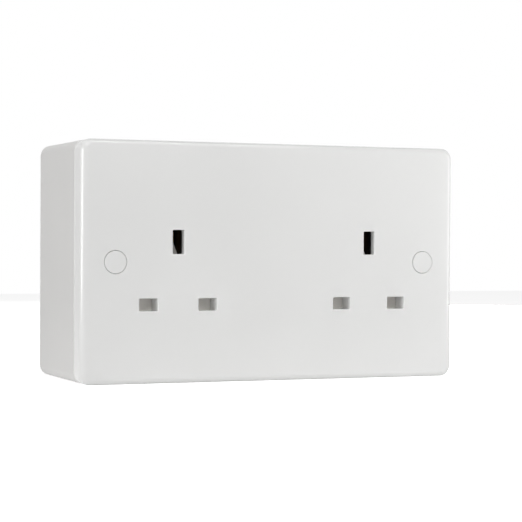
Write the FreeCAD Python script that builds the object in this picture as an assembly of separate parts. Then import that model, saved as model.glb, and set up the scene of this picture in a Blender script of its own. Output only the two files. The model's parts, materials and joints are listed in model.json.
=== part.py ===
import FreeCAD, Part
import math
import os

from FreeCAD import Placement, Rotation, Vector

# A twin 13 A socket outlet on its deep surface box, in millimetres.
# X runs to the right, Z runs up and the face looks along -Y.
# The wall face of the box is y = 0, and depths are counted from the front face backwards.

# Outside of the plate and the box
overall_width = 146.0
overall_height = 86.0
corner_radius = 4.0
plate_depth = 8.0
box_depth = 45.0
plate_edge_radius = 2.2
seam_edge = 0.25

# Walls of the plate and the box
plate_wall = 3.0
skirt_wall = 2.4
box_wall = 2.4
box_back_wall = 2.6

# Screws that hold the plate, their wells, caps, pillars and bushes
plate_screw_pitch = 120.6
plate_screw_radius = 1.75
plate_screw_length = 20.0
plate_screw_head_radius = 3.1
plate_screw_head_height = 2.0
plate_screw_clearance = 0.25
well_depth = 5.0
well_wall = 1.3
cap_radius = 4.0
cap_clearance = 0.15
cap_thickness = 1.3
cap_edge = 0.1
cap_skirt_wall = 0.6
cap_skirt_inset = 0.08
cap_skirt_depth = 3.1
cap_slit_width = 1.4
pillar_radius = 4.8
pillar_web = 3.0
insert_radius = 2.9
insert_length = 8.0
insert_setback = 0.4
insert_groove = 0.4
insert_groove_width = 1.6
thread_clearance = 0.05

# Shapes of every screw, as shares of its own shank and head
screw_tip_chamfer = 0.2
screw_head_chamfer = 0.33
screw_recess_width = 0.29
screw_recess_depth = 0.55
screw_cross_reach = 0.65
screw_slot_reach = 1.1

# The two outlets and their pin slots
outlet_pitch = 75.0
outlet_offset = 0.55
earth_height = 7.15
line_pin_drop = 22.23
line_pin_offset = 11.115
line_slot_width = 7.0
line_slot_height = 4.45
earth_slot_width = 4.4
earth_slot_height = 8.53
slot_corner_radius = 0.45
slot_mouth = 0.3
well_mouth = 0.2
shroud_depth = 6.9
shroud_wall = 1.6

# Plug pins that the outlet takes
line_pin_length = 17.7
earth_pin_length = 22.7
earth_pin_height = 8.0

# Shutters
shutter_thickness = 2.0
shutter_clearance = 0.1
shutter_side_clearance = 0.2
shutter_side_margin = 0.7
shutter_foot_margin = 1.5
shutter_cover_overlap = 0.5
shutter_band = 2.4
window_margin = 0.3
ramp_width = 3.8
ramp_front_depth = 7.2
ramp_heel = 1.2
ramp_drop_past_pin = 0.2
guide_rib = 1.2
guide_rib_overrun = 1.0

# Shutter springs and their seats
spring_wire_radius = 0.25
spring_wire_sides = 6
spring_coil_radius = 1.5
spring_turns = 5
spring_length = 11.0
spring_end_clearance = 0.05
spring_peg_radius = 0.95
spring_peg_length = 2.0
spring_pad_height = 1.2
spring_pad_half_width = 1.9
spring_pad_half_depth = 1.6
spring_channel_clearance = 0.35
spring_seat_thickness = 2.2

# Rear housing
housing_wall = 1.4
housing_floor = 1.7
housing_corner_radius = 3.0
pocket_clearance = 0.3
housing_screw_radius = 1.45
housing_screw_length = 9.0
housing_screw_head_radius = 2.7
housing_screw_head_height = 1.8
housing_screw_clearance = 0.25
housing_screw_seat = 4.4
housing_screw_inset = 4.1
housing_boss_radius = 3.2

# Brass contact strips
strip_thickness = 0.7
strip_height = 4.0
strip_bend_radius = 0.8
line_pin_run_out = 2.1
earth_pin_run_out = 1.3
jaw_width = 6.0
earth_jaw_height = 7.4
jaw_root_half_gap = 2.6
jaw_pinch_half_gap = 1.75
jaw_lip_half_gap = 2.4
jaw_lip_length = 2.4
line_jaw_length = 8.8
earth_jaw_length = 10.0
jaw_flex_room = 0.6
neck_width = 3.2
neck_gap = 0.5
live_bar_drop = 9.0
neutral_bar_rise = 8.0
earth_bar_rise = 9.0

# Terminals
terminal_size = 7.6
terminal_back_depth = 33.0
terminal_clearance = 0.2
terminal_bore_radius = 2.2
terminal_bore_depth = 29.6
terminal_spigot_radius = 1.5
terminal_rivet_radius = 2.1
terminal_rivet_height = 0.6
terminal_screw_radius = 2.0
terminal_screw_head_radius = 2.9
terminal_screw_head_height = 2.0
terminal_screw_travel = 2.4
terminal_screw_setback = 0.1
turret_wall = 1.4
turret_depth = 36.0
turret_hole_clearance = 0.4
live_terminal_reach = 8.0
neutral_terminal_reach = 8.0
earth_terminal_reach = 12.0

# Fixing holes and cable knockouts of the box
wall_hole_pitch_x = 100.0
wall_hole_pitch_z = 50.0
wall_hole_radius = 2.3
wall_pad_radius = 4.6
wall_pad_height = 1.2
knockout_radius = 10.0
knockout_groove = 1.4
knockout_web = 0.8
knockout_pitch = 60.0

# Depths that follow from the sizes above
overall_depth = plate_depth + box_depth
shutter_front = shroud_depth + shutter_clearance
shutter_back = shutter_front + shutter_thickness
shutter_middle = (shutter_front + shutter_back) / 2
housing_front = shutter_back + shutter_clearance
line_strip_front = line_pin_length + line_pin_run_out
line_strip_back = line_strip_front + strip_thickness
earth_strip_front = earth_pin_length + earth_pin_run_out
earth_strip_back = earth_strip_front + strip_thickness
housing_back = earth_strip_back + housing_floor
well_radius = cap_radius + cap_clearance

# Heights that follow from the sizes above
line_height = earth_height - line_pin_drop
live_bar_height = line_height - live_bar_drop
neutral_bar_height = line_height + neutral_bar_rise
earth_bar_height = earth_height + earth_bar_rise
window_height = line_slot_height + 2 * window_margin
shutter_travel = line_slot_height / 2 + window_height / 2 + shutter_cover_overlap
window_centre = line_height + shutter_travel
blade_bottom = line_height - line_slot_height / 2 - shutter_foot_margin
blade_top = window_centre + window_height / 2 + shutter_band
blade_half_width = line_pin_offset + line_slot_width / 2 + shutter_side_margin
ramp_foot = earth_height - earth_slot_height / 2
ramp_top = earth_height - earth_pin_height / 2 + shutter_travel - ramp_drop_past_pin
ramp_back_depth = ramp_front_depth + ramp_top - ramp_foot
spring_pad_bottom = blade_bottom - spring_pad_height
spring_seat_height = spring_pad_bottom - spring_length

# Outline of the rear housing
housing_half_width = outlet_pitch / 2 + line_pin_offset + line_slot_width / 2 + housing_wall
housing_top = earth_bar_height + strip_height / 2 + pocket_clearance + housing_wall
housing_bottom = spring_seat_height - spring_seat_thickness
housing_screw_reach = housing_half_width - housing_screw_inset
housing_screw_heights = (housing_bottom + housing_screw_inset, housing_top - housing_screw_inset)
housing_screw_xs = (outlet_offset - housing_screw_reach, outlet_offset + housing_screw_reach)
housing_screw_spots = [(x, z) for x in housing_screw_xs for z in housing_screw_heights]

# Places that are used on both sides
outlets = {"left": outlet_offset - outlet_pitch / 2, "right": outlet_offset + outlet_pitch / 2}
plate_screws = {"left": -plate_screw_pitch / 2, "right": plate_screw_pitch / 2}
terminals = {
    "live": (outlet_offset + live_terminal_reach, live_bar_height, line_strip_back),
    "neutral": (outlet_offset - neutral_terminal_reach, neutral_bar_height, line_strip_back),
    "earth_left": (outlet_offset - earth_terminal_reach, earth_bar_height, earth_strip_back),
    "earth_right": (outlet_offset + earth_terminal_reach, earth_bar_height, earth_strip_back),
}


def y_at(depth):
    """The y of a depth behind the front face."""
    return depth - overall_depth


def block(x, z, depth):
    """A block between a pair of x, a pair of z and a pair of depths."""
    corner = Vector(x[0], y_at(depth[0]), z[0])
    return Part.makeBox(x[1] - x[0], depth[1] - depth[0], z[1] - z[0], corner)


def centred_block(centre, width, height, depth):
    """A block about a centre (x, z), between a pair of depths."""
    x, z = centre
    return block((x - width / 2, x + width / 2), (z - height / 2, z + height / 2), depth)


def rod(centre, radius, depth):
    """A round bar along Y about a centre (x, z), between a pair of depths."""
    start = Vector(centre[0], y_at(depth[0]), centre[1])
    return Part.makeCylinder(radius, depth[1] - depth[0], start, Vector(0, 1, 0))


def upright_rod(x, depth, radius, z):
    """A round bar along Z at an x and a depth, between a pair of z."""
    start = Vector(x, y_at(depth), z[0])
    return Part.makeCylinder(radius, z[1] - z[0], start, Vector(0, 0, 1))


def edges_along(shape, axis):
    """Straight edges of a shape that run along an axis."""
    found = []
    for edge in shape.Edges:
        run = edge.Vertexes[-1].Point - edge.Vertexes[0].Point
        if run.Length > 0 and run.cross(axis).Length < 1e-6:
            found.append(edge)
    return found


def edges_at_depth(shape, depth, half_width=None, centre=(0, 0)):
    """Edges of a shape in the plane at a depth, if asked only those near a centre (x, z)."""
    found = []
    for edge in shape.Edges:
        box = edge.BoundBox
        if max(abs(box.YMin - y_at(depth)), abs(box.YMax - y_at(depth))) > 1e-6:
            continue
        reach = max(abs(edge.CenterOfMass.x - centre[0]), abs(edge.CenterOfMass.z - centre[1]))
        if half_width is None or reach < half_width:
            found.append(edge)
    return found


def rounded_block(centre, width, height, radius, depth):
    """A block whose corners are rounded as seen from the front."""
    shape = centred_block(centre, width, height, depth)
    return shape.makeFillet(radius, edges_along(shape, Vector(0, 1, 0)))


def joined(shapes):
    """One solid from shapes that meet, without the seams between them."""
    first, *rest = shapes
    return first.fuse(rest).removeSplitter()


def line_slot_centres(outlet_x):
    """Centres of the neutral and the live slot of an outlet."""
    return [(outlet_x + side * line_pin_offset, line_height) for side in (-1, 1)]


def slots_of(outlet_x):
    """Centre, width and height of each slot of an outlet."""
    slots = [((outlet_x, earth_height), earth_slot_width, earth_slot_height)]
    for centre in line_slot_centres(outlet_x):
        slots.append((centre, line_slot_width, line_slot_height))
    return slots


# Front plate

def plate_shell():
    """The plate's face and skirt, rounded outside and open behind."""
    shell = rounded_block((0, 0), overall_width, overall_height, corner_radius, (0, plate_depth))
    shell = shell.makeFillet(plate_edge_radius, edges_at_depth(shell, 0))
    shell = shell.makeChamfer(seam_edge, edges_at_depth(shell, plate_depth))
    inside = rounded_block(
        (0, 0),
        overall_width - 2 * skirt_wall,
        overall_height - 2 * skirt_wall,
        corner_radius - skirt_wall,
        (plate_wall, plate_depth),
    )
    return shell.cut(inside)


def plate_outlet_ribs(outlet_x):
    """Shrouds of the line slots and the ribs that guide and stop one shutter."""
    ribs = []
    for centre in line_slot_centres(outlet_x):
        width = line_slot_width + 2 * shroud_wall
        height = line_slot_height + 2 * shroud_wall
        ribs.append(centred_block(centre, width, height, (plate_wall, shroud_depth)))
    inner = blade_half_width + shutter_side_clearance
    guide_z = (blade_bottom - shutter_travel - guide_rib_overrun, blade_top + guide_rib)
    stop_z = (blade_top + shutter_clearance, blade_top + shutter_clearance + guide_rib)
    for side in (-1, 1):
        guide_x = sorted((outlet_x + side * inner, outlet_x + side * (inner + guide_rib)))
        stop_x = sorted((outlet_x + side * earth_slot_width, outlet_x + side * (inner + guide_rib)))
        ribs.append(block(guide_x, guide_z, (plate_wall, housing_front)))
        ribs.append(block(stop_x, stop_z, (plate_wall, shutter_back)))
    return ribs


def plate_bosses():
    """Wells for the fixing screws and bosses for the housing's screws."""
    bosses = []
    for x in plate_screws.values():
        bosses.append(rod((x, 0), well_radius + well_wall, (plate_wall, plate_depth)))
    for spot in housing_screw_spots:
        bosses.append(rod(spot, housing_boss_radius, (plate_wall, housing_front)))
    return bosses


def plate_stiffeners():
    """Low ribs across the inside of the face."""
    half_height = overall_height / 2 - skirt_wall
    low = (plate_wall, (plate_wall + plate_depth) / 2)
    return [block((-guide_rib / 2, guide_rib / 2), (-half_height, half_height), low)]


def plate_holes():
    """What is cut out of the plate: slots, wells, screw holes and pilot holes."""
    holes = []
    for x in outlets.values():
        for centre, width, height in slots_of(x):
            holes.append(rounded_block(centre, width, height, slot_corner_radius, (0, shroud_depth)))
    for x in plate_screws.values():
        hole = plate_screw_radius + plate_screw_clearance
        holes.append(rod((x, 0), well_radius, (0, well_depth)))
        holes.append(rod((x, 0), hole, (0, plate_depth)))
    for spot in housing_screw_spots:
        tip = housing_front + housing_screw_seat - housing_screw_length
        holes.append(rod(spot, housing_screw_radius + thread_clearance, (tip, housing_front)))
    return holes


def soften_mouths(plate):
    """Round the front edges of the slots and break those of the wells."""
    slot_edges = []
    for x in outlets.values():
        for centre, width, height in slots_of(x):
            slot_edges += edges_at_depth(plate, 0, max(width, height) / 2 + slot_mouth, centre)
    plate = plate.makeFillet(slot_mouth, slot_edges)
    well_edges = []
    for x in plate_screws.values():
        well_edges += edges_at_depth(plate, 0, well_radius, (x, 0))
    return plate.makeChamfer(well_mouth, well_edges)


def front_plate():
    """The moulded front plate."""
    solids = [plate_shell()] + plate_bosses() + plate_stiffeners()
    for x in outlets.values():
        solids += plate_outlet_ribs(x)
    return soften_mouths(joined(solids).cut(plate_holes()))


# Surface box

def box_shell():
    """The box's side walls and back wall."""
    depth = (plate_depth, overall_depth)
    outer = rounded_block((0, 0), overall_width, overall_height, corner_radius, depth)
    outer = outer.makeChamfer(seam_edge, edges_at_depth(outer, plate_depth))
    inside = rounded_block(
        (0, 0),
        overall_width - 2 * box_wall,
        overall_height - 2 * box_wall,
        corner_radius - box_wall,
        (plate_depth, overall_depth - box_back_wall),
    )
    return outer.cut(inside)


def box_pillars():
    """Screw pillars, each with a web to its side wall."""
    pillars = []
    depth = (plate_depth, overall_depth - box_back_wall / 2)
    for x in plate_screws.values():
        wall_x = math.copysign(overall_width / 2 - box_wall / 2, x)
        pillars.append(rod((x, 0), pillar_radius, depth))
        pillars.append(block(sorted((x, wall_x)), (-pillar_web / 2, pillar_web / 2), depth))
    return pillars


def wall_hole_spots():
    """Centres of the four holes for the wall screws."""
    return [
        (x * wall_hole_pitch_x / 2, z * wall_hole_pitch_z / 2) for x in (-1, 1) for z in (-1, 1)
    ]


def box_pads():
    """Raised pads round the wall screw holes."""
    inside = overall_depth - box_back_wall
    depth = (inside - wall_pad_height, inside + box_back_wall / 2)
    return [rod(spot, wall_pad_radius, depth) for spot in wall_hole_spots()]


def ring(start, axis, depth):
    """A groove cutter for one round knockout."""
    outer = Part.makeCylinder(knockout_radius + knockout_groove, depth, start, axis)
    return outer.cut(Part.makeCylinder(knockout_radius, depth, start, axis))


def knockout_grooves():
    """Grooves inside the top, bottom and back wall that leave a thin web outside."""
    grooves = []
    side_y = y_at(plate_depth + box_depth / 2)
    for side in (-1, 1):
        x = side * knockout_pitch / 2
        for up in (-1, 1):
            start = Vector(x, side_y, up * (overall_height / 2 - knockout_web))
            grooves.append(ring(start, Vector(0, 0, -up), box_wall))
        start = Vector(x, y_at(overall_depth - knockout_web), 0)
        grooves.append(ring(start, Vector(0, -1, 0), box_back_wall))
    return grooves


def box_holes():
    """Wall screw holes and the stepped bores of the pillars."""
    holes = [rod(spot, wall_hole_radius, (plate_depth, overall_depth)) for spot in wall_hole_spots()]
    bush_end = plate_depth + insert_setback + insert_length
    screw_end = well_depth + plate_screw_length + insert_setback
    for x in plate_screws.values():
        hole = plate_screw_radius + plate_screw_clearance
        holes.append(rod((x, 0), insert_radius, (plate_depth, bush_end)))
        holes.append(rod((x, 0), hole, (plate_depth, screw_end)))
    return holes


def surface_box():
    """The deep moulded box behind the plate."""
    solids = [box_shell()] + box_pillars() + box_pads()
    return joined(solids).cut(box_holes() + knockout_grooves())


def box_insert(x):
    """A brass bush with a thread for the plate screw and a groove that grips the pillar."""
    start = plate_depth + insert_setback
    end = start + insert_length
    bush = rod((x, 0), insert_radius, (start, end))
    middle = (start + end) / 2
    waist = (middle - insert_groove_width / 2, middle + insert_groove_width / 2)
    groove = rod((x, 0), insert_radius, waist).cut(rod((x, 0), insert_radius - insert_groove, waist))
    bore = rod((x, 0), plate_screw_radius + thread_clearance, (start, end))
    return bush.cut([groove, bore])


# Screws and caps

def screw(shank_radius, length, head_radius, head_height, cross):
    """A screw along +Y whose head seats on y = 0, with a cross recess or a plain slot."""
    along = Vector(0, 1, 0)
    shank = Part.makeCylinder(shank_radius, length, Vector(0, 0, 0), along)
    tip = [edge for edge in shank.Edges if abs(edge.BoundBox.YMin - length) < 1e-6]
    shank = shank.makeChamfer(shank_radius * screw_tip_chamfer, tip)
    head = Part.makeCylinder(head_radius, head_height, Vector(0, -head_height, 0), along)
    top = [edge for edge in head.Edges if abs(edge.BoundBox.YMax + head_height) < 1e-6]
    head = head.makeChamfer(head_height * screw_head_chamfer, top)
    width = head_radius * screw_recess_width
    reach = head_radius * (screw_cross_reach if cross else screw_slot_reach)
    depth = head_height * screw_recess_depth
    recess = [Part.makeBox(width, depth, 2 * reach, Vector(-width / 2, -head_height, -reach))]
    if cross:
        recess.append(Part.makeBox(2 * reach, depth, width, Vector(-reach, -head_height, -width / 2)))
    return joined([shank, head]).cut(recess)


def placed_screw(shape, centre, seat_depth, from_front):
    """A screw moved to a centre (x, z), its head seated at a depth and facing front or back."""
    turn = Rotation(Vector(0, 0, 1), 0 if from_front else 180)
    moved = shape.copy()
    moved.Placement = Placement(Vector(centre[0], y_at(seat_depth), centre[1]), turn)
    return moved


def plate_screw(x):
    """A screw through the plate into the box's bush."""
    shape = screw(
        plate_screw_radius,
        plate_screw_length,
        plate_screw_head_radius,
        plate_screw_head_height,
        True,
    )
    return placed_screw(shape, (x, 0), well_depth, True)


def screw_cap(x):
    """A flush disc with a split skirt that snaps into the well."""
    disc = rod((x, 0), cap_radius, (0, cap_thickness))
    disc = disc.makeChamfer(cap_edge, edges_at_depth(disc, 0))
    skirt_radius = cap_radius - cap_skirt_inset
    skirt = rod((x, 0), skirt_radius, (cap_thickness, cap_skirt_depth))
    skirt = skirt.cut(rod((x, 0), skirt_radius - cap_skirt_wall, (cap_thickness, cap_skirt_depth)))
    slits = []
    for quarter in range(2):
        slit = centred_block((x, 0), cap_slit_width, 3 * cap_radius, (cap_thickness, cap_skirt_depth))
        slit.rotate(Vector(x, 0, 0), Vector(0, 1, 0), 45 + 90 * quarter)
        slits.append(slit)
    return joined([disc, skirt.cut(slits)])


def housing_screws():
    """The four screws that hold the rear housing to the plate."""
    shape = screw(
        housing_screw_radius,
        housing_screw_length - thread_clearance,
        housing_screw_head_radius,
        housing_screw_head_height,
        True,
    )
    seat = housing_front + housing_screw_seat
    return Part.makeCompound([placed_screw(shape, spot, seat, False) for spot in housing_screw_spots])


# Shutters and springs

def shutter_ramp(outlet_x):
    """The sloping block behind the earth slot that the earth pin pushes down."""
    outline = [
        (ramp_front_depth, ramp_foot),
        (ramp_back_depth, ramp_top),
        (ramp_back_depth + ramp_heel, ramp_top),
        (ramp_back_depth + ramp_heel, ramp_foot),
        (shutter_back, blade_top),
        (shutter_back, window_centre),
        (shutter_front, window_centre),
        (shutter_front, blade_top),
        (ramp_front_depth, ramp_foot - ramp_heel),
    ]
    x = outlet_x - ramp_width / 2
    points = [Vector(x, y_at(depth), z) for depth, z in outline]
    face = Part.Face(Part.makePolygon(points + points[:1]))
    return face.extrude(Vector(ramp_width, 0, 0))


def shutter(outlet_x):
    """A slider with a ramp, two blades, two windows and a peg for its spring."""
    x = (outlet_x - blade_half_width, outlet_x + blade_half_width)
    blade = block(x, (blade_bottom, blade_top), (shutter_front, shutter_back))
    pad_x = (outlet_x - spring_pad_half_width, outlet_x + spring_pad_half_width)
    pad_depth = (shutter_middle - spring_pad_half_depth, shutter_middle + spring_pad_half_depth)
    pad = block(pad_x, (spring_pad_bottom, blade_bottom), pad_depth)
    peg_z = (spring_pad_bottom - spring_peg_length, spring_pad_bottom)
    peg = upright_rod(outlet_x, shutter_middle, spring_peg_radius, peg_z)
    windows = []
    for slot_x, _ in line_slot_centres(outlet_x):
        width = line_slot_width + 2 * window_margin
        depth = (shutter_front, shutter_back)
        windows.append(
            rounded_block((slot_x, window_centre), width, window_height, slot_corner_radius, depth)
        )
    return joined([blade, shutter_ramp(outlet_x), pad, peg]).cut(windows)


def shutter_spring(outlet_x):
    """A coil spring between the housing's seat and the shutter's pad."""
    margin = spring_wire_radius + spring_end_clearance
    height = spring_length - 2 * margin
    helix = Part.makeHelix(height / spring_turns, height, spring_coil_radius)
    corners = []
    for step in range(spring_wire_sides + 1):
        angle = math.tau * (step % spring_wire_sides) / spring_wire_sides
        out = spring_coil_radius + spring_wire_radius * math.cos(angle)
        corners.append(Vector(out, 0, spring_wire_radius * math.sin(angle)))
    section = Part.makePolygon(corners)
    coil = Part.Wire(helix.Edges).makePipeShell([section], True, True)
    coil.translate(Vector(outlet_x, y_at(shutter_middle), spring_seat_height + margin))
    return coil


# Contact strips

def offset_side(points, bend_radius, shift):
    """Edges of a folded line moved sideways, with its two ends."""
    edges = []
    into = (points[1] - points[0]).normalize()
    start = points[0] + Vector(-into.y, into.x, 0) * shift
    first = start
    for before, corner, after in zip(points, points[1:], points[2:]):
        into = (corner - before).normalize()
        out = (after - corner).normalize()
        turn = into.getAngle(out)
        side = math.copysign(1, into.cross(out).z)
        reach = bend_radius * math.tan(turn / 2)
        centre = corner - into * reach + Vector(-into.y, into.x, 0) * side * bend_radius
        arc_start = corner - into * reach + Vector(-into.y, into.x, 0) * shift
        arc_end = corner + out * reach + Vector(-out.y, out.x, 0) * shift
        middle = centre + (corner - centre).normalize() * (bend_radius - side * shift)
        edges.append(Part.LineSegment(start, arc_start).toShape())
        edges.append(Part.Arc(arc_start, middle, arc_end).toShape())
        start = arc_end
    out = (points[-1] - points[-2]).normalize()
    last = points[-1] + Vector(-out.y, out.x, 0) * shift
    edges.append(Part.LineSegment(start, last).toShape())
    return edges, first, last


def folded_strip(points, thickness, bend_radius, width):
    """A strip folded along a line in the XY plane, its width centred on z = 0."""
    left, left_first, left_last = offset_side(points, bend_radius, thickness / 2)
    right, right_first, right_last = offset_side(points, bend_radius, -thickness / 2)
    caps = [
        Part.LineSegment(left_last, right_last).toShape(),
        Part.LineSegment(right_first, left_first).toShape(),
    ]
    wire = Part.Wire(Part.__sortEdges__(left + right + caps))
    strip = Part.Face(wire).extrude(Vector(0, 0, width))
    strip.translate(Vector(0, 0, -width / 2))
    return strip


def jaw(centre, base_front, length, width, upright):
    """A U of spring brass whose two leaves pinch a pin; upright leaves stand left and right."""
    base = strip_thickness / 2
    half = strip_thickness / 2
    leaf = [
        Vector(jaw_lip_half_gap + half, -length, 0),
        Vector(jaw_pinch_half_gap + half, -length + jaw_lip_length, 0),
        Vector(jaw_root_half_gap + half, base, 0),
    ]
    points = leaf + [Vector(-point.x, point.y, 0) for point in reversed(leaf)]
    shape = folded_strip(points, strip_thickness, strip_bend_radius, width)
    if not upright:
        shape.rotate(Vector(0, 0, 0), Vector(0, 1, 0), 90)
    shape.translate(Vector(centre[0], y_at(base_front), centre[1]))
    return shape


def line_strip_blocks(bar_height, grow, depth):
    """Flat parts of a line strip as blocks: necks beside the jaws and the bar that joins them.

    The live strip, below the jaws, serves the right slots and the neutral strip the left ones.
    """
    live = bar_height < line_height
    jaw_x = [x + (line_pin_offset if live else -line_pin_offset) for x in outlets.values()]
    half = strip_height / 2 + grow
    blocks = []
    ends = []
    for x in jaw_x:
        inward = math.copysign(1, outlet_offset - x)
        near = x + inward * (jaw_width / 2 - strip_bend_radius)
        neck_start = x + inward * (jaw_width / 2 + neck_gap)
        neck_end = neck_start + inward * neck_width
        collar_x = sorted((near, neck_end + inward * grow))
        neck_x = sorted((neck_start - inward * grow, neck_end + inward * grow))
        neck_z = sorted((line_height, bar_height))
        half_collar = jaw_root_half_gap - strip_bend_radius + grow
        blocks.append(block(collar_x, (line_height - half_collar, line_height + half_collar), depth))
        blocks.append(block(neck_x, neck_z, depth))
        ends += [neck_start - inward * grow, neck_end + inward * grow]
    blocks.append(block((min(ends), max(ends)), (bar_height - half, bar_height + half), depth))
    return blocks


def earth_strip_blocks(grow, depth):
    """Flat parts of the earth strip as blocks: a neck above each jaw and the bar."""
    half = strip_height / 2 + grow
    blocks = []
    for x in outlets.values():
        neck_z = (earth_height, earth_bar_height)
        blocks.append(block((x - half, x + half), neck_z, depth))
    bar_x = (outlets["left"] - half, outlets["right"] + half)
    blocks.append(block(bar_x, (earth_bar_height - half, earth_bar_height + half), depth))
    return blocks


def rivet_holes(names, depth):
    """Holes in a strip for the spigots of its terminals."""
    return [rod(terminals[name][:2], terminal_spigot_radius, depth) for name in names]


def line_strip(bar_height, names):
    """A strip that joins the live or the neutral jaws of both outlets."""
    depth = (line_strip_front, line_strip_back)
    solids = line_strip_blocks(bar_height, 0, depth)
    side = 1 if bar_height < line_height else -1
    for x in outlets.values():
        centre = (x + side * line_pin_offset, line_height)
        solids.append(jaw(centre, line_strip_front, line_jaw_length, jaw_width, False))
    return joined(solids).cut(rivet_holes(names, depth))


def earth_strip():
    """The strip that joins the earth jaws of both outlets."""
    depth = (earth_strip_front, earth_strip_back)
    solids = earth_strip_blocks(0, depth)
    for x in outlets.values():
        centre = (x, earth_height)
        solids.append(jaw(centre, earth_strip_front, earth_jaw_length, earth_jaw_height, True))
    return joined(solids).cut(rivet_holes(["earth_left", "earth_right"], depth))


# Rear housing

def strip_troughs():
    """Room for the flat parts of the three strips, open to the front."""
    line_depth = (housing_front, line_strip_back)
    troughs = earth_strip_blocks(pocket_clearance, (housing_front, earth_strip_back))
    for height in (live_bar_height, neutral_bar_height):
        troughs += line_strip_blocks(height, pocket_clearance, line_depth)
    return troughs


def jaw_pockets(outlet_x):
    """Room round the jaws of one outlet, for the pins and for the leaves to spread."""
    spread = 2 * (jaw_root_half_gap + strip_thickness + jaw_flex_room)
    depth = (housing_front, line_strip_back)
    pockets = []
    for centre in line_slot_centres(outlet_x):
        pockets.append(centred_block(centre, line_slot_width, spread, depth))
    centre = (outlet_x, earth_height)
    depth = (housing_front, earth_strip_back)
    pockets.append(centred_block(centre, spread, earth_slot_height, depth))
    return pockets


def shutter_room(outlet_x):
    """Room in the housing's front for the ramp's heel and for the spring."""
    half = earth_slot_width / 2 + pocket_clearance
    heel_z = (blade_top - shutter_travel - pocket_clearance, ramp_top + pocket_clearance)
    heel_depth = (housing_front, ramp_back_depth + ramp_heel + pocket_clearance)
    heel = block((outlet_x - half, outlet_x + half), heel_z, heel_depth)
    half = spring_pad_half_width + spring_channel_clearance
    channel_back = shutter_middle + spring_pad_half_depth + spring_channel_clearance
    channel_z = (spring_seat_height, blade_bottom + spring_channel_clearance)
    channel = block((outlet_x - half, outlet_x + half), channel_z, (housing_front, channel_back))
    return [heel, channel]


def spring_seat(outlet_x):
    """A ledge on the housing's front, with a peg, that carries one spring."""
    half = spring_pad_half_width + spring_channel_clearance
    x = (outlet_x - half, outlet_x + half)
    front = shutter_middle - spring_pad_half_depth
    ledge = block(x, (housing_bottom, spring_seat_height), (front, housing_front + housing_wall))
    peg_z = (spring_seat_height - spring_peg_length, spring_seat_height + spring_peg_length)
    peg = upright_rod(outlet_x, shutter_middle, spring_peg_radius, peg_z)
    return [ledge, peg]


def turrets():
    """Square towers on the housing's back round the terminals."""
    size = terminal_size + 2 * (terminal_clearance + turret_wall)
    depth = (housing_back - housing_floor, turret_depth)
    return [centred_block((x, z), size, size, depth) for x, z, _ in terminals.values()]


def terminal_rooms():
    """Pockets for the terminal blocks, screwdriver holes and wire ways."""
    rooms = []
    size = terminal_size + 2 * terminal_clearance
    hole = terminal_screw_head_radius + turret_hole_clearance
    wire_way = terminal_bore_radius + turret_hole_clearance
    for x, z, start in terminals.values():
        end = terminal_back_depth + terminal_clearance
        rooms.append(centred_block((x, z), size, size, (start, end)))
        rooms.append(rod((x, z), hole, (start, turret_depth)))
        reach = size / 2 + turret_wall
        rooms.append(upright_rod(x, terminal_bore_depth, wire_way, (z - reach, z + reach)))
    return rooms


def housing_screw_holes():
    """Clearance holes with deep counterbores from the back."""
    holes = []
    seat = housing_front + housing_screw_seat
    for spot in housing_screw_spots:
        head = housing_screw_head_radius + housing_screw_clearance
        shank = housing_screw_radius + housing_screw_clearance
        holes.append(rod(spot, head, (seat, housing_back)))
        holes.append(rod(spot, shank, (housing_front, seat)))
    return holes


def pillar_notches():
    """Hollows that keep the housing clear of the box's screw pillars."""
    radius = pillar_radius + pocket_clearance
    return [rod((x, 0), radius, (housing_front, housing_back)) for x in plate_screws.values()]


def rear_housing():
    """The black carrier that holds the strips and terminals behind the shutters."""
    centre = (outlet_offset, (housing_top + housing_bottom) / 2)
    body = rounded_block(
        centre,
        2 * housing_half_width,
        housing_top - housing_bottom,
        housing_corner_radius,
        (housing_front, housing_back),
    )
    rooms = strip_troughs() + terminal_rooms() + housing_screw_holes() + pillar_notches()
    for x in outlets.values():
        rooms += jaw_pockets(x) + shutter_room(x)
    seats = [piece for x in outlets.values() for piece in spring_seat(x)]
    return joined([joined([body] + turrets()).cut(rooms)] + seats)


# Terminals

def terminal(name):
    """A drilled brass block, riveted through its strip, with a wire bore and a screw hole."""
    x, z, start = terminals[name]
    body = centred_block((x, z), terminal_size, terminal_size, (start, terminal_back_depth))
    spigot = rod((x, z), terminal_spigot_radius, (start - strip_thickness, start))
    rivet_start = start - strip_thickness - terminal_rivet_height
    rivet = rod((x, z), terminal_rivet_radius, (rivet_start, start - strip_thickness))
    reach = terminal_size / 2
    wire_bore = upright_rod(x, terminal_bore_depth, terminal_bore_radius, (z - reach, z + reach))
    hole = terminal_screw_radius + thread_clearance
    screw_bore = rod((x, z), hole, (terminal_bore_depth, terminal_back_depth))
    return joined([body, spigot, rivet]).cut([wire_bore, screw_bore])


def terminal_screw(name):
    """A slotted screw, backed off so that a wire can go in."""
    x, z, _ = terminals[name]
    tip = terminal_bore_depth + terminal_bore_radius + terminal_screw_setback
    seat = terminal_back_depth + terminal_screw_travel + terminal_clearance
    shape = screw(
        terminal_screw_radius,
        seat - tip,
        terminal_screw_head_radius,
        terminal_screw_head_height,
        False,
    )
    return placed_screw(shape, (x, z), seat, False)


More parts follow.
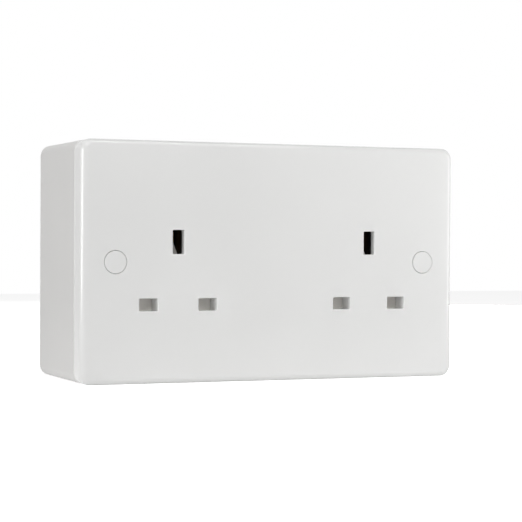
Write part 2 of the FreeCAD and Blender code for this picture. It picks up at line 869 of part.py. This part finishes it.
def all_parts():
    """Every piece by its name."""
    parts = {
        "front_plate": front_plate(),
        "surface_box": surface_box(),
        "rear_housing": rear_housing(),
        "housing_screws": housing_screws(),
        "live_strip": line_strip(live_bar_height, ["live"]),
        "neutral_strip": line_strip(neutral_bar_height, ["neutral"]),
        "earth_strip": earth_strip(),
    }
    for side, x in plate_screws.items():
        parts["screw_cap_" + side] = screw_cap(x)
        parts["plate_screw_" + side] = plate_screw(x)
        parts["box_insert_" + side] = box_insert(x)
    for side, x in outlets.items():
        parts["shutter_" + side] = shutter(x)
        parts["shutter_spring_" + side] = shutter_spring(x)
    for name in terminals:
        parts["terminal_" + name] = terminal(name)
        parts["terminal_screw_" + name] = terminal_screw(name)
    return parts


os.makedirs("parts", exist_ok=True)
for part_name, part_shape in all_parts().items():
    part_shape.exportStep("parts/" + part_name + ".step")
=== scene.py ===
import json
import math

import bmesh
import bpy
from mathutils import Matrix, Vector


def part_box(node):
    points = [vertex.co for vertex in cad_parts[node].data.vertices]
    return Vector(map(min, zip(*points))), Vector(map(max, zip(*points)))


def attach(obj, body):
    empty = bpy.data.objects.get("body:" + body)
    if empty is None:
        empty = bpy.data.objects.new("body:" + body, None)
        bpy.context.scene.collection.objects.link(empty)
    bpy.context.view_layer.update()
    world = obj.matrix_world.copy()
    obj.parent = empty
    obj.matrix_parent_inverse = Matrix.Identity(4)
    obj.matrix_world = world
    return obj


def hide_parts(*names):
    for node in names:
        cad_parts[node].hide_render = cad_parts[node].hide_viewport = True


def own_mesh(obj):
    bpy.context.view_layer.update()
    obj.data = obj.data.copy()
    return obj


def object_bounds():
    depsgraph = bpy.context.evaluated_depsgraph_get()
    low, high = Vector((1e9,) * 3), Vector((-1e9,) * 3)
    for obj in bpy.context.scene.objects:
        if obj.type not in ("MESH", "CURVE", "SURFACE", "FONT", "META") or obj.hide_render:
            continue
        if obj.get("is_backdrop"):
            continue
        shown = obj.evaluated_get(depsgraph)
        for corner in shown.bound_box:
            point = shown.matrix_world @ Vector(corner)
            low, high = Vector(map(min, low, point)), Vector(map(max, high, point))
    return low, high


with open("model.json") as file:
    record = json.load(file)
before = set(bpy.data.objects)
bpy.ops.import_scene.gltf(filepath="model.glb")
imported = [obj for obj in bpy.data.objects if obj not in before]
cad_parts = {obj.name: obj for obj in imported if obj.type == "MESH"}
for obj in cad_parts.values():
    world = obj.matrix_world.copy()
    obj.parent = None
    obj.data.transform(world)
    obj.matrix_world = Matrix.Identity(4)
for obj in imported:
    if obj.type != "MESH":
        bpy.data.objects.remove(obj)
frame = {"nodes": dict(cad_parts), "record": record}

cad_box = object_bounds()
nodes = frame["nodes"]


# The camera stands about two thirds of a metre away, in front and to the left, level with the
# outlet. Its place, lens and turns come from a fit to the slots, caps and outline in the photograph.
camera_place = (-0.2423, -0.6241, 0.0066)
camera_lens_mm = 118.0
camera_film_mm = 36
camera_yaw, camera_pitch, camera_roll = 22.53, -0.57, 0.31
camera_nearest, camera_farthest = 0.05, 50

camera_data = bpy.data.cameras.new("camera")
camera_data.sensor_width = camera_film_mm
camera_data.lens = camera_lens_mm
camera_data.clip_start = camera_nearest
camera_data.clip_end = camera_farthest
camera = bpy.data.objects.new("camera", camera_data)
camera.matrix_world = (
    Matrix.Translation(camera_place)
    @ Matrix.Rotation(-math.radians(camera_yaw), 4, "Z")
    @ Matrix.Rotation(math.radians(90 + camera_pitch), 4, "X")
    @ Matrix.Rotation(math.radians(camera_roll), 4, "Z")
)
bpy.context.scene.collection.objects.link(camera)
bpy.context.scene.camera = camera


# The surface box: a deep two-gang box, injection moulded in white thermoplastic. Its skin is a
# little duller than the plate's, from the grain of an etched tool, which is too fine to show and is
# drawn coarser here.
flow_detail, flow_roughness = 2, 0.4
flow_ends = (0.35, 0.65)
grain_detail, grain_roughness = 3, 0.5
# Corners sharper than this many degrees stay crisp. Points nearer than the weld, in metres, are
# merged, and edges shorter than the sliver go.
crisp_angle = 32
weld = 1e-6
sliver = 1e-7


def linear(code):
    """An sRGB hex colour as linear red, green, blue and alpha."""
    parts = [int(code[at:at + 2], 16) / 255 for at in (1, 3, 5)]
    return [p / 12.92 if p <= 0.04045 else ((p + 0.055) / 1.055) ** 2.4 for p in parts] + [1.0]


def add(tree, kind, values=None, feeds=None, **settings):
    """Adds one node with its settings, its sockets' values and what feeds them."""
    node = tree.nodes.new(kind)
    for name, value in settings.items():
        setattr(node, name, value)
    for socket, value in (values or {}).items():
        node.inputs[socket].default_value = value
    for socket, source in (feeds or {}).items():
        tree.links.new(source, node.inputs[socket])
    return node


def empty_finish(name):
    """A material without any nodes yet, and its node tree."""
    made = bpy.data.materials.new(name)
    made.use_nodes = True
    made.node_tree.nodes.clear()
    return made, made.node_tree


def moulded_finish(name, tones, flow_mm, grain_mm, grain_height_mm, roughness, refraction):
    """A moulded plastic: soft flow marks in its colour and gloss, and a fine grain on its skin."""
    made, tree = empty_finish(name)
    place = add(tree, "ShaderNodeTexCoord").outputs["Object"]
    flow = add(
        tree, "ShaderNodeTexNoise",
        {"Scale": 1000 / flow_mm, "Detail": flow_detail, "Roughness": flow_roughness},
        {"Vector": place},
    )
    tone = add(tree, "ShaderNodeValToRGB", feeds={"Fac": flow.outputs["Fac"]})
    for stop, code, at in zip(tone.color_ramp.elements, tones, flow_ends):
        stop.position = at
        stop.color = linear(code)
    grain = add(
        tree, "ShaderNodeTexNoise",
        {"Scale": 1000 / grain_mm, "Detail": grain_detail, "Roughness": grain_roughness},
        {"Vector": place},
    )
    polish = add(
        tree, "ShaderNodeMapRange", {"To Min": roughness[0], "To Max": roughness[1]},
        {"Value": flow.outputs["Fac"]},
    )
    bump = add(
        tree, "ShaderNodeBump", {"Strength": 1.0, "Distance": grain_height_mm / 1000},
        {"Height": grain.outputs["Fac"]},
    )
    shader = add(
        tree, "ShaderNodeBsdfPrincipled", {"IOR": refraction},
        {
            "Base Color": tone.outputs["Color"],
            "Roughness": polish.outputs["Result"],
            "Normal": bump.outputs["Normal"],
        },
    )
    add(tree, "ShaderNodeOutputMaterial", feeds={"Surface": shader.outputs["BSDF"]})
    return made


def copied(node):
    """A piece's own solid as one closed skin."""
    shape = bmesh.new()
    shape.from_mesh(nodes[node].data)
    bmesh.ops.remove_doubles(shape, verts=shape.verts, dist=weld)
    bmesh.ops.dissolve_degenerate(shape, edges=shape.edges, dist=sliver)
    return shape


def finished(shape, node, finish):
    """A new piece that stands for a solid: its rounds shaded smooth and its corners left crisp."""
    for face in shape.faces:
        face.smooth = True
    mesh = bpy.data.meshes.new(node + "_skin")
    shape.to_mesh(mesh)
    shape.free()
    solid_normals = mesh.attributes.get("custom_normal")
    if solid_normals is not None:
        mesh.attributes.remove(solid_normals)
    mesh.materials.append(finish)
    mesh.set_sharp_from_angle(angle=math.radians(crisp_angle))
    skin = bpy.data.objects.new(node + "_skin", mesh)
    bpy.context.scene.collection.objects.link(skin)
    bodies = frame["record"]["behaviour"]["bodies"]
    body = next(name for name, riders in bodies.items() if node in riders)
    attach(skin, body)
    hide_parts(node)
    return skin


box_plastic = moulded_finish(
    "moulded white thermoplastic", tones=("#D3D2D0", "#D6D5D3"), flow_mm=38.0, grain_mm=0.5,
    grain_height_mm=0.004, roughness=(0.30, 0.36), refraction=1.50,
)
finished(copied("surface_box"), "surface_box", box_plastic)


# The rear housing: the black carrier behind the shutters, compression moulded in phenolic. It has
# the even satin skin of the material, its grain drawn coarser than the real one, and it holds every
# live part away from the plate.
phenolic = moulded_finish(
    "moulded black phenolic", tones=("#1B1A19", "#201F1E"), flow_mm=12.0, grain_mm=0.35,
    grain_height_mm=0.004, roughness=(0.38, 0.5), refraction=1.6,
)
finished(copied("rear_housing"), "rear_housing", phenolic)


# The contact strips, terminals and bushes: brass, blanked and folded from rolled strip or turned
# and sawn from drawn bar. Both leave lines along the metal, drawn coarser here than the real ones
# so that they can be seen, and air dulls the pale yellow in soft patches.
brass_tones = ("#C9A663", "#E2C684")
brass_line_mm = 0.12
brass_line_height_mm = 0.004
brass_tarnish_mm = 6.0
line_detail, patch_detail = 2, 3
line_strength = 0.6
patch_ends = (0.3, 0.7)


def metal_finish(name, tones, line_mm, stretch, patch_mm, roughness, line_height_mm):
    """A worked metal: fine lines, long where the stretch is under 1, and soft duller patches."""
    made, tree = empty_finish(name)
    place = add(tree, "ShaderNodeTexCoord").outputs["Object"]
    drawn = add(tree, "ShaderNodeMapping", {"Scale": stretch}, {"Vector": place})
    lines = add(
        tree, "ShaderNodeTexNoise", {"Scale": 1000 / line_mm, "Detail": line_detail},
        {"Vector": drawn.outputs["Vector"]},
    )
    patch = add(
        tree, "ShaderNodeTexNoise", {"Scale": 1000 / patch_mm, "Detail": patch_detail},
        {"Vector": place},
    )
    tone = add(tree, "ShaderNodeValToRGB", feeds={"Fac": patch.outputs["Fac"]})
    for stop, code, at in zip(tone.color_ramp.elements, tones, patch_ends):
        stop.position = at
        stop.color = linear(code)
    polish = add(
        tree, "ShaderNodeMapRange", {"To Min": roughness[0], "To Max": roughness[1]},
        {"Value": lines.outputs["Fac"]},
    )
    bump = add(
        tree, "ShaderNodeBump", {"Strength": line_strength, "Distance": line_height_mm / 1000},
        {"Height": lines.outputs["Fac"]},
    )
    shader = add(
        tree, "ShaderNodeBsdfPrincipled", {"Metallic": 1.0},
        {
            "Base Color": tone.outputs["Color"],
            "Roughness": polish.outputs["Result"],
            "Normal": bump.outputs["Normal"],
        },
    )
    add(tree, "ShaderNodeOutputMaterial", feeds={"Surface": shader.outputs["BSDF"]})
    return made


def dress(node, finish):
    """Gives a solid that is right as it stands its finish."""
    mesh = nodes[node].data
    mesh.materials.clear()
    mesh.materials.append(finish)


rolled_brass = metal_finish(
    "rolled brass strip", brass_tones, brass_line_mm, stretch=(0.04, 1, 1),
    patch_mm=brass_tarnish_mm, roughness=(0.22, 0.38), line_height_mm=brass_line_height_mm,
)
for name in ("live_strip", "neutral_strip", "earth_strip"):
    dress(name, rolled_brass)

drawn_brass = metal_finish(
    "drawn brass bar", brass_tones, brass_line_mm, stretch=(1, 0.04, 1),
    patch_mm=brass_tarnish_mm, roughness=(0.2, 0.34), line_height_mm=brass_line_height_mm,
)
for name in (
    "terminal_live", "terminal_neutral", "terminal_earth_left", "terminal_earth_right",
    "box_insert_left", "box_insert_right",
):
    dress(name, drawn_brass)


# The shutters: a slider behind each outlet, moulded in pale acetal. It is satin all over, its grain
# drawn coarser than the real one, and shows through the slots as a warm grey because little light
# gets down to it.
acetal = moulded_finish(
    "moulded pale acetal", tones=("#F0EDE7", "#F4F1EC"), flow_mm=9.0, grain_mm=0.3,
    grain_height_mm=0.003, roughness=(0.42, 0.5), refraction=1.48,
)
for side in ("left", "right"):
    finished(copied("shutter_" + side), "shutter_" + side, acetal)


# The shutter springs: coiled from drawn steel wire, with a closed turn at each end. Drawing leaves
# the wire bright, with streaks that are coarser and more upright here than real ones. Each stands on
# a ledge of the housing, round a peg, and presses up on its shutter.
wire_radius = 0.00025
wire_sides = 10
coil_radius = 0.0015
turn_steps = 24
open_turns = 6
closed_turn_rise = 2.1 * wire_radius
spring_steel = metal_finish(
    "drawn spring steel wire", tones=("#8F9094", "#B4B5B8"), line_mm=0.1, stretch=(1, 1, 0.2),
    patch_mm=3.0, roughness=(0.24, 0.36), line_height_mm=0.003,
)


def fill_ends(shape):
    """Closes every open ring of a shape with a face."""
    edges = [edge for edge in shape.edges if edge.is_boundary]
    bmesh.ops.holes_fill(shape, edges=edges, sides=0)


def coil_turns(shape, ring, centre, turns, rise):
    """Winds a ring of wire on by some turns, rising along Z, and returns its last ring."""
    steps = turns * turn_steps
    wound = bmesh.ops.spin(
        shape, geom=ring, cent=centre, axis=(0, 0, 1), dvec=(0, 0, rise / steps),
        angle=math.tau * turns, steps=steps,
    )
    return wound["geom_last"]


def coil_spring(node):
    """A spring with a closed turn at each end, between the heights of its solid."""
    low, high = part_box(node)
    middle = (low + high) / 2
    start = Vector((middle.x, middle.y, low.z + wire_radius))
    wire_place = Matrix.Translation(start + Vector((coil_radius, 0, 0)))
    wire_turn = Matrix.Rotation(math.pi / 2, 4, "X")
    shape = bmesh.new()
    section = bmesh.ops.create_circle(
        shape, cap_ends=False, segments=wire_sides, radius=wire_radius,
        matrix=wire_place @ wire_turn,
    )
    ring = section["verts"] + shape.edges[:]
    open_rise = high.z - low.z - 2 * wire_radius - 2 * closed_turn_rise
    ring = coil_turns(shape, ring, start, 1, closed_turn_rise)
    ring = coil_turns(shape, ring, start, open_turns, open_rise)
    coil_turns(shape, ring, start, 1, closed_turn_rise)
    bmesh.ops.remove_doubles(shape, verts=shape.verts, dist=sliver)
    fill_ends(shape)
    bmesh.ops.recalc_face_normals(shape, faces=shape.faces)
    return finished(shape, node, spring_steel)


for side in ("left", "right"):
    spring = coil_spring("shutter_spring_" + side)
    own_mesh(spring)


# The screws: cold headed steel with rolled threads. Clear zinc plate makes them bright with a faint
# blue, its grain drawn coarser than the real one. Machine screws hold the plate and clamp the wires;
# coarse ones cut their own thread in the plate's bosses and hold the housing.
housing_head_radius = 0.0027
thread_depth_share = 0.61
thread_steps = 20
thread_weld = 2e-6
# Each has a thread radius, a head height, a pitch, and 1 or -1 for the way its tip points along Y.
screw_sizes = {
    "housing_screws": {"radius": 0.00145, "head": 0.0018, "pitch": 0.0013, "way": -1},
    "plate_screw": {"radius": 0.00175, "head": 0.0020, "pitch": 0.0006, "way": 1},
    "terminal_screw": {"radius": 0.0020, "head": 0.0020, "pitch": 0.0007, "way": -1},
}
zinc_plate = metal_finish(
    "zinc plated steel", tones=("#B9BDC4", "#D3D6DA"), line_mm=0.15, stretch=(1, 1, 1),
    patch_mm=2.5, roughness=(0.24, 0.34), line_height_mm=0.003,
)


def thread(shape, centre, seat, tip, radius, pitch):
    """A rolled thread along Y from a head's seat to a tip, its crests at the screw's radius."""
    way = 1 if tip > seat else -1
    turns = int(abs(tip - seat) / pitch) - 1
    rise = abs(tip - seat) / (turns + 1)
    root = radius - thread_depth_share * rise
    line = [(root, 0), (radius, rise / 2), (root, rise)]
    points = [
        shape.verts.new((centre[0] + out, seat + way * along, centre[1])) for out, along in line
    ]
    edges = [shape.edges.new(pair) for pair in zip(points, points[1:])]
    bmesh.ops.spin(
        shape, geom=points + edges, cent=(centre[0], seat, centre[1]), axis=(0, 1, 0),
        dvec=(0, way * rise / thread_steps, 0), angle=math.tau * turns, steps=turns * thread_steps,
    )


def threaded(node, kind, centres):
    """A screw whose own head is kept, cut off at its seat, with rolled threads for its shanks."""
    size = screw_sizes[kind]
    low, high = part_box(node)
    way = size["way"]
    seat = low.y + size["head"] if way > 0 else high.y - size["head"]
    tip = high.y if way > 0 else low.y
    shape = copied(node)
    bmesh.ops.bisect_plane(
        shape, geom=shape.verts[:] + shape.edges[:] + shape.faces[:], dist=sliver,
        plane_co=(0, seat, 0), plane_no=(0, way, 0), clear_outer=True,
    )
    fill_ends(shape)
    for centre in centres:
        thread(shape, centre, seat, tip, size["radius"], size["pitch"])
    bmesh.ops.remove_doubles(shape, verts=shape.verts, dist=thread_weld)
    fill_ends(shape)
    bmesh.ops.recalc_face_normals(shape, faces=shape.faces)
    finished(shape, node, zinc_plate)


def across_centre(node):
    """A piece's centre across the face, as X and Z."""
    low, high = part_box(node)
    return (low.x + high.x) / 2, (low.z + high.z) / 2


for side in ("left", "right"):
    name = "plate_screw_" + side
    threaded(name, "plate_screw", [across_centre(name)])
for place in ("live", "neutral", "earth_left", "earth_right"):
    name = "terminal_screw_" + place
    threaded(name, "terminal_screw", [across_centre(name)])

heads_low, heads_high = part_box("housing_screws")
housing_spots = [
    (x, z) for x in (heads_low.x + housing_head_radius, heads_high.x - housing_head_radius)
    for z in (heads_low.z + housing_head_radius, heads_high.z - housing_head_radius)
]
threaded("housing_screws", "housing_screws", housing_spots)


# The front plate and its two screw caps: compression moulded in white urea, which comes out of a
# polished tool hard and glossy, with a very slight ripple that only its reflections show.
urea = moulded_finish(
    "moulded white urea", tones=("#E6E6E5", "#E9E9E8"), flow_mm=55.0, grain_mm=2.2,
    grain_height_mm=0.006, roughness=(0.14, 0.18), refraction=1.55,
)
for name in ("front_plate", "screw_cap_left", "screw_cap_right"):
    finished(copied(name), name, urea)


# The studio: a white floor, a white surround and soft lamps. Camera and reflections see the surround
# plain white, and the floor with a glow that lifts it near white and leaves its shadow faint.
floor_level = cad_box[0].z
floor_half = 1.0
floor_white = "#F4F4F4"
floor_shown = 0.76
plain_white = (1, 1, 1, 1)
surround_light = 0.15
surround_shown = 1.0
# Each lamp has a place, an aim, a width and height in metres, and a power in watts.
lamps = {
    "right": ((0.275, -0.225, 0.0), (0.05, -0.05, 0.0), (0.12, 0.20), 0.42),
    "left": ((-0.606, -0.499, 0.037), (-0.07, -0.05, 0.0), (0.22, 0.30), 0.15),
    "flank": ((-0.742, -0.243, 0.037), (-0.07, -0.05, 0.0), (0.22, 0.30), 2.65),
    "front": ((-0.132, -0.671, 0.296), (0.0, -0.05, 0.0), (0.20, 0.12), 0.75),
    "top": ((0.0, -0.256, 0.51), (0.0, -0.05, 0.0), (0.50, 0.12), 1.10),
    "behind": ((0.40, 0.65, 0.0), (0.0, 0.0, 0.0), (0.30, 0.08), 2.0),
}


def lamp(name, place, aim, size, power):
    """A soft box at a place, turned to an aim."""
    data = bpy.data.lights.new(name, "AREA")
    data.shape = "RECTANGLE"
    data.size, data.size_y = size
    data.energy = power
    made = bpy.data.objects.new(name, data)
    made.location = place
    made.rotation_euler = (Vector(aim) - Vector(place)).to_track_quat("-Z", "Y").to_euler()
    bpy.context.scene.collection.objects.link(made)


for name, (place, aim, size, power) in lamps.items():
    lamp(name, place, aim, size, power)

floor_shape = bmesh.new()
bmesh.ops.create_grid(
    floor_shape, x_segments=1, y_segments=1, size=floor_half,
    matrix=Matrix.Translation((0, 0, floor_level)),
)
floor_mesh = bpy.data.meshes.new("floor")
floor_shape.to_mesh(floor_mesh)
floor_shape.free()
floor = bpy.data.objects.new("floor", floor_mesh)
bpy.context.scene.collection.objects.link(floor)
floor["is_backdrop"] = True


def seen_directly(tree):
    """1 for what the camera, a reflection or a refraction sees, and 0 for light on its way."""
    path = add(tree, "ShaderNodeLightPath").outputs
    seen = add(
        tree, "ShaderNodeMath", feeds={0: path["Is Camera Ray"], 1: path["Is Glossy Ray"]},
        operation="MAXIMUM",
    )
    either = add(
        tree, "ShaderNodeMath", feeds={0: seen.outputs[0], 1: path["Is Transmission Ray"]},
        operation="MAXIMUM",
    )
    return either.outputs[0]


paper, tree = empty_finish("white studio floor")
matt = add(tree, "ShaderNodeBsdfDiffuse", {"Color": linear(floor_white)})
shown = add(
    tree, "ShaderNodeMath", {1: floor_shown}, {0: seen_directly(tree)}, operation="MULTIPLY",
)
glow = add(tree, "ShaderNodeEmission", {"Color": plain_white}, {"Strength": shown.outputs[0]})
both = add(
    tree, "ShaderNodeAddShader", feeds={0: matt.outputs["BSDF"], 1: glow.outputs["Emission"]},
)
add(tree, "ShaderNodeOutputMaterial", feeds={"Surface": both.outputs["Shader"]})
floor_mesh.materials.append(paper)

world = bpy.data.worlds.new("surround")
bpy.context.scene.world = world
world.use_nodes = True
tree = world.node_tree
tree.nodes.clear()
light = add(
    tree, "ShaderNodeBackground", {"Color": plain_white, "Strength": surround_light},
)
white = add(
    tree, "ShaderNodeBackground", {"Color": plain_white, "Strength": surround_shown},
)
mixed = add(
    tree, "ShaderNodeMixShader",
    feeds={0: seen_directly(tree), 1: light.outputs["Background"], 2: white.outputs["Background"]},
)
add(tree, "ShaderNodeOutputWorld", feeds={"Surface": mixed.outputs["Shader"]})

bpy.context.scene.view_settings.view_transform = "Standard"

size = {
    "cad": [list(corner) for corner in cad_box],
    "visual": [list(corner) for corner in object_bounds()],
}
